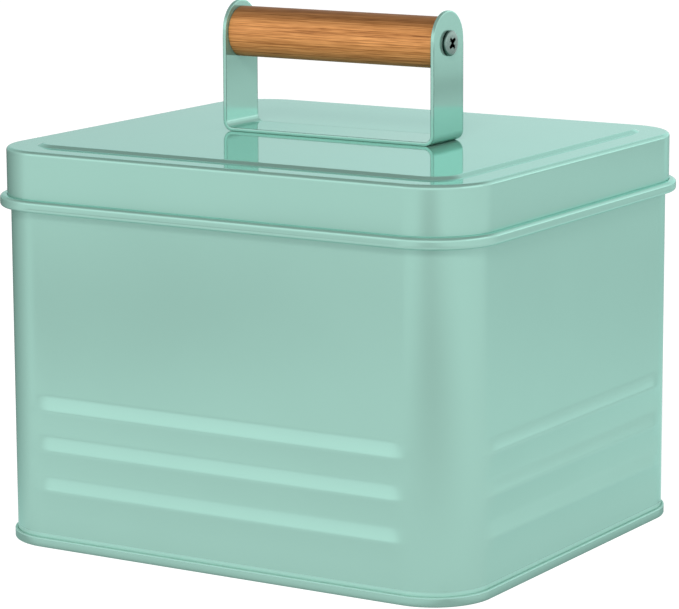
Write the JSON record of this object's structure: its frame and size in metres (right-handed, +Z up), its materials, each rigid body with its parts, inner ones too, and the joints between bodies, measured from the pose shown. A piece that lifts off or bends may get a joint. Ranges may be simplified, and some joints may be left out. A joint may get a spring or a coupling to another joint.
{
  "type": "metal laundry pod container with lid",
  "caption": "Rounded rectangular steel storage tin with pressed ribs, a double-seamed base, a slip-on lid with a rolled edge, and a wooden bar handle in a bent strip bracket.",
  "frame": {"origin": "middle of the foot ring's underside, on the surface that the tin stands on", "axes": "+Z up, the way the lid lifts; X along the wide front wall and the bar handle; Y from front to back"},
  "size_m": [0.18, 0.1598, 0.1719],
  "materials": {
    "mint_enamel": "glossy mint green enamel on tinplate",
    "grip_wood": "sealed pale brown hardwood with fine lengthwise grain",
    "screw_steel": "bright zinc plated"
  },
  "bodies": {
    "tin": {"body_shell": "mint_enamel", "base_panel": "mint_enamel"},
    "lid": {"lid_shell": "mint_enamel", "handle_bracket": "mint_enamel", "grip": "grip_wood", "grip_screw_left": "screw_steel", "grip_screw_right": "screw_steel"}
  },
  "joints": [
    {"name": "lid_lift", "type": "slide", "parent": "tin", "child": "lid", "axis": [0, 0, 1], "range_m": [0, 0.1]}
  ]
}
